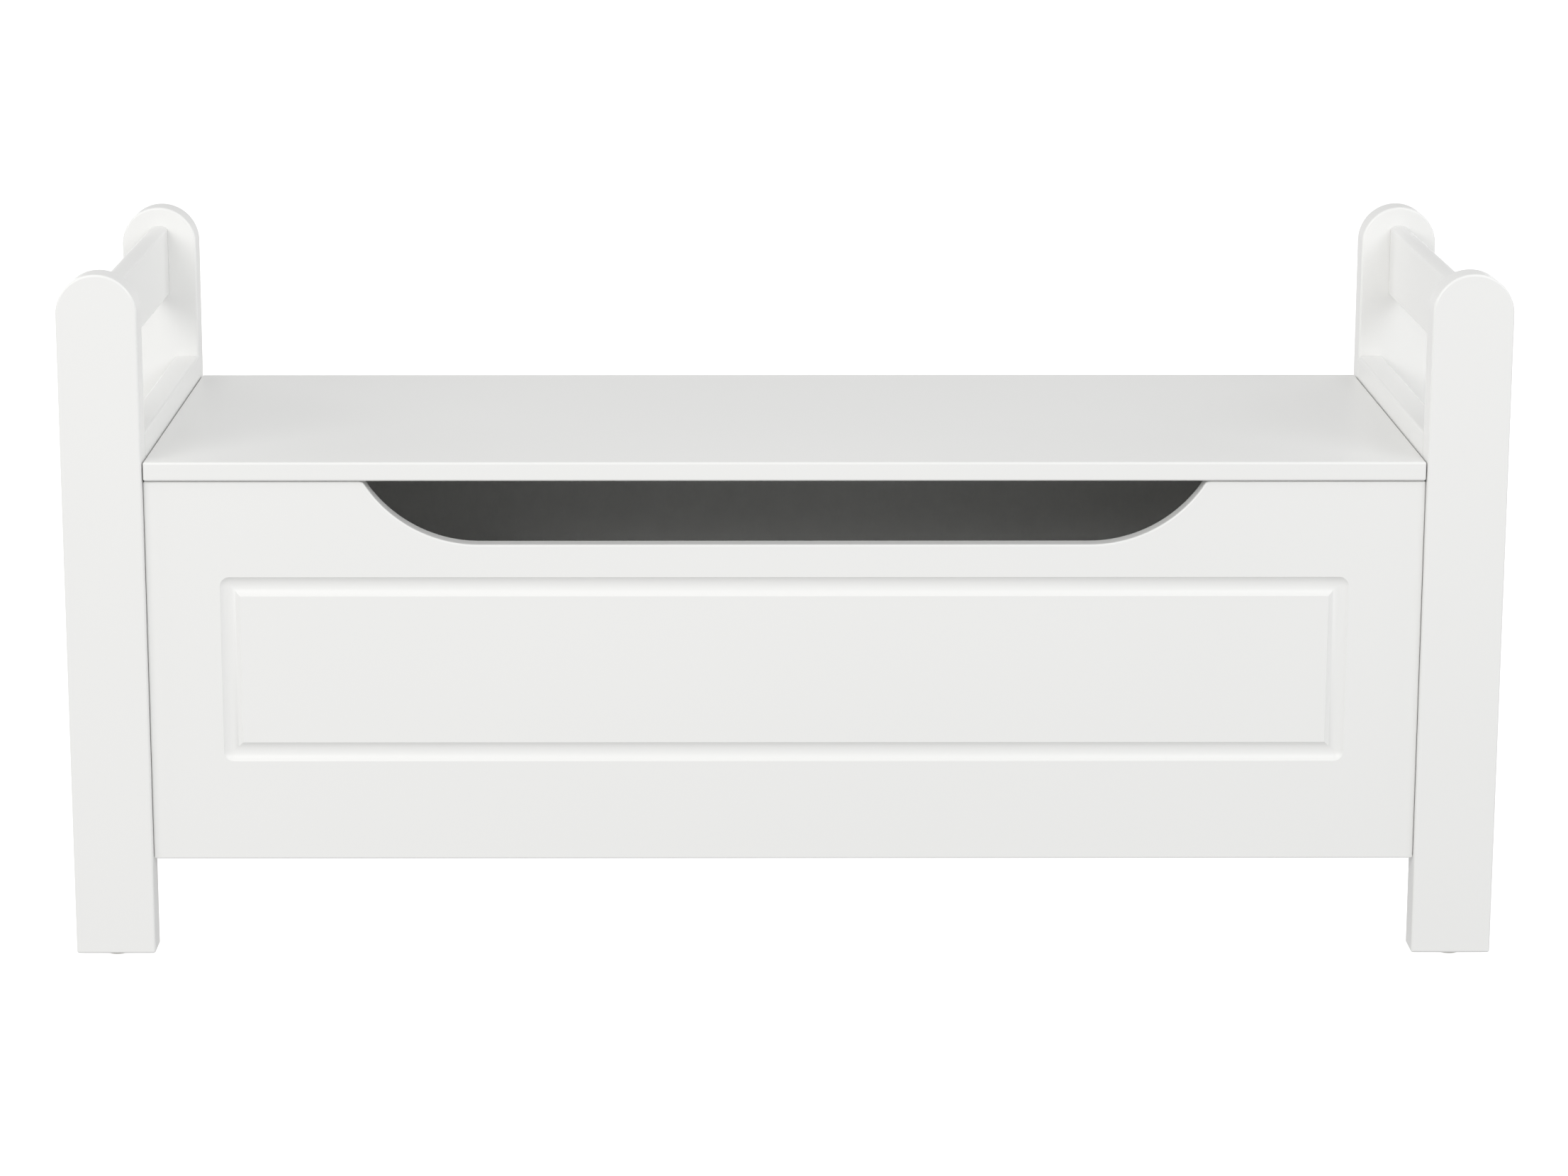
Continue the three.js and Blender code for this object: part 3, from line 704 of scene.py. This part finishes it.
def makeLidBracket(side, sx):
    bracket = {"reach": 24 * mm, "tongue": 8 * mm, "corner": 4 * mm}
    node = f"stay_lid_bracket_{side}"
    low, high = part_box(node)
    x, half = sx * lowerPlane, stay["plate"] / 2
    outer, inner = x + sx * half, x + sx * half - sx * bracket["reach"]
    flange = block(node + "_angle", (min(outer, inner), low.y, high.z - stay["plate"]),
                   (max(outer, inner), high.y, high.z))
    roundEdges(flange, lambda a, b: near(a.x, b.x) and near(a.y, b.y) and near(a.x, inner),
               bracket["corner"], 8)
    easeAll(flange, stay["ease"], 3)
    bottom = lidPivot.z - bracket["tongue"]
    tongue = block("tongue", (x - half, lidPivot.y - bracket["tongue"], bottom),
                   (x + half, lidPivot.y + bracket["tongue"], high.z - stay["ease"]))
    roundEdges(tongue, lambda a, b: near(a.z, bottom) and near(b.z, bottom) and near(a.y, b.y),
               bracket["tongue"], 14)
    weld(flange, tongue)
    addStud(flange, x, lidPivot.y, lidPivot.z, -sx)
    for end in ends:
        a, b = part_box(f"bracket_screw_{side}_{end}")
        place = ((a.x + b.x) / 2, (a.y + b.y) / 2, high.z - stay["plate"])
        countersink(flange, stayScrew, place, faceDown)
    fit(flange, node)


for side, sx in sides:
    makeSidePlate(side, sx)
    makeLowerArm(side, sx)
    makeUpperArm(side, sx)
    makeLidBracket(side, sx)
    for end in ends:
        node = f"bracket_screw_{side}_{end}"
        low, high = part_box(node)
        makeScrew(node, stayScrew, ((low.x + high.x) / 2, (low.y + high.y) / 2, low.z), faceDown)
    for row in ("lower", "upper"):
        node = f"side_plate_screw_{side}_{row}"
        low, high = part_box(node)
        x = low.x if sx > 0 else high.x
        makeScrew(node, stayScrew, (x, (low.y + high.y) / 2, (low.z + high.z) / 2), faceInwards(sx))
print("stays made")


# cam locks, glides and bumpers

def makeCamLock(node):
    cam = {"ease": 0.5 * mm, "slotLength": 4.6 * mm, "slotWidth": 0.8 * mm, "slotDepth": 2.2 * mm}
    low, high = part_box(node)
    x, z = (low.x + high.x) / 2, (low.z + high.z) / 2
    face = high.y if "front" in node else low.y
    piece = rod(node + "_disc", (high.x - low.x) / 2, high.y - low.y,
                (x, (low.y + high.y) / 2, z), alongY, 56)
    easeAll(piece, cam["ease"], 3, 50)
    for turn in (0, math.pi / 2):
        slot = block("slot", (-cam["slotLength"], -cam["slotDepth"], -cam["slotWidth"]),
                     (cam["slotLength"], cam["slotDepth"], cam["slotWidth"]))
        moveTo(slot, (x, face, z), (0, turn, 0))
        cutAway(piece, slot)
    fit(piece, node)


def makeGlide(node):
    glide = {"thick": 2 * mm, "dome": 0.9 * mm, "nail": 1.2 * mm}
    low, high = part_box(node)
    x, y = (low.x + high.x) / 2, (low.y + high.y) / 2
    piece = rod(node + "_disc", (high.x - low.x) / 2, glide["thick"],
                (x, y, glide["thick"] / 2), alongZ, 56)
    roundEdges(piece, lambda a, b: near(a.z, 0) and near(b.z, 0), glide["dome"], 5)
    weld(piece, rod("nail", glide["nail"], high.z - glide["thick"], (x, y, high.z / 2), alongZ, 20))
    fit(piece, node)


def makeBumper(node):
    bumper = {"dome": 0.4 * mm}
    low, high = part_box(node)
    piece = rod(node + "_pad", (high.x - low.x) / 2, high.z - low.z, (low + high) / 2, alongZ, 56)
    roundEdges(piece, lambda a, b: near(a.z, high.z) and near(b.z, high.z), bumper["dome"], 6)
    fit(piece, node)


for node in sorted(frame["nodes"]):
    if node.startswith("cam_lock"):
        makeCamLock(node)
    if node.startswith("glide"):
        makeGlide(node)
    if node.startswith("bumper"):
        makeBumper(node)
print("cam locks, glides and bumpers made")


# studio

def addStage():
    # a shallow white bowl all round, that only the camera sees, so that it throws no light back
    stage = {"radius": 7, "height": 5, "bend": 1.6, "glow": 0.6, "roughness": 0.62, "roughnessVary": 0.06,
             "pale": (0.93, 0.93, 0.93, 1), "dim": (0.915, 0.915, 0.915, 1)}
    paint = Paint("paleStage")
    wash = paint.noise(0.8, 2)
    material = paint.finish(
        Base_Color=paint.blend(wash, stage["pale"], stage["dim"]),
        Roughness=stage["roughness"] + stage["roughnessVary"] * wash,
        Emission_Color=(1, 1, 1, 1), Emission_Strength=stage["glow"])
    deselectAll()
    bpy.ops.mesh.primitive_circle_add(vertices=96, radius=stage["radius"], fill_type="NGON")
    bowl = bpy.context.object
    bowl.name = "studio_bowl"
    editEdges(bowl, lambda a, b: True)
    bpy.ops.mesh.extrude_edges_move(TRANSFORM_OT_translate={"value": (0, 0, stage["height"])})
    bpy.ops.object.mode_set(mode="OBJECT")
    roundEdges(bowl, lambda a, b: near(a.z, 0) and near(b.z, 0), stage["bend"], 20)
    smooth(bowl)
    bowl.data.materials.append(material)
    bowl.visible_diffuse = bowl.visible_glossy = bowl.visible_shadow = False


def addSoftbox(name, place, target, size, power, colour=(1, 1, 1)):
    lamp = bpy.data.lights.new(name, "AREA")
    lamp.shape = "RECTANGLE"
    lamp.size, lamp.size_y = size
    lamp.energy = power
    lamp.color = colour
    box = bpy.data.objects.new(name, lamp)
    box.location = place
    box.rotation_euler = (Vector(target) - Vector(place)).to_track_quat("-Z", "Y").to_euler()
    box.visible_camera = False
    bpy.context.scene.collection.objects.link(box)


def addLights():
    middle, skyStrength = (0, 0, 0.3), 0.58
    warm, cool = (1, 0.99, 0.97), (0.97, 0.985, 1)
    addSoftbox("keyHigh", (-2.2, -3.0, 3.2), middle, (2.4, 1.8), 14, warm)
    addSoftbox("keyLow", (-2.4, -3.6, 2.3), middle, (3.2, 1.5), 56, warm)
    addSoftbox("fill", (2.3, -3.4, 2.7), middle, (3.2, 1.5), 52, cool)
    addSoftbox("leftWing", (-3.8, -0.4, 1.6), middle, (2.0, 1.8), 14)
    addSoftbox("rightWing", (3.8, -0.4, 1.6), middle, (2.0, 1.8), 14)
    addSoftbox("rearLeft", (-2.6, 3.0, 0.95), middle, (1.8, 1.4), 26)
    addSoftbox("rearRight", (2.6, 3.0, 0.95), middle, (1.8, 1.4), 26)
    world = bpy.data.worlds.new("studio")
    world.use_nodes = True
    world.node_tree.nodes["Background"].inputs["Color"].default_value = (1, 1, 1, 1)
    world.node_tree.nodes["Background"].inputs["Strength"].default_value = skyStrength
    bpy.context.scene.world = world
    bpy.context.scene.view_settings.view_transform = "Standard"


addStage()
addLights()
print("studio lit")
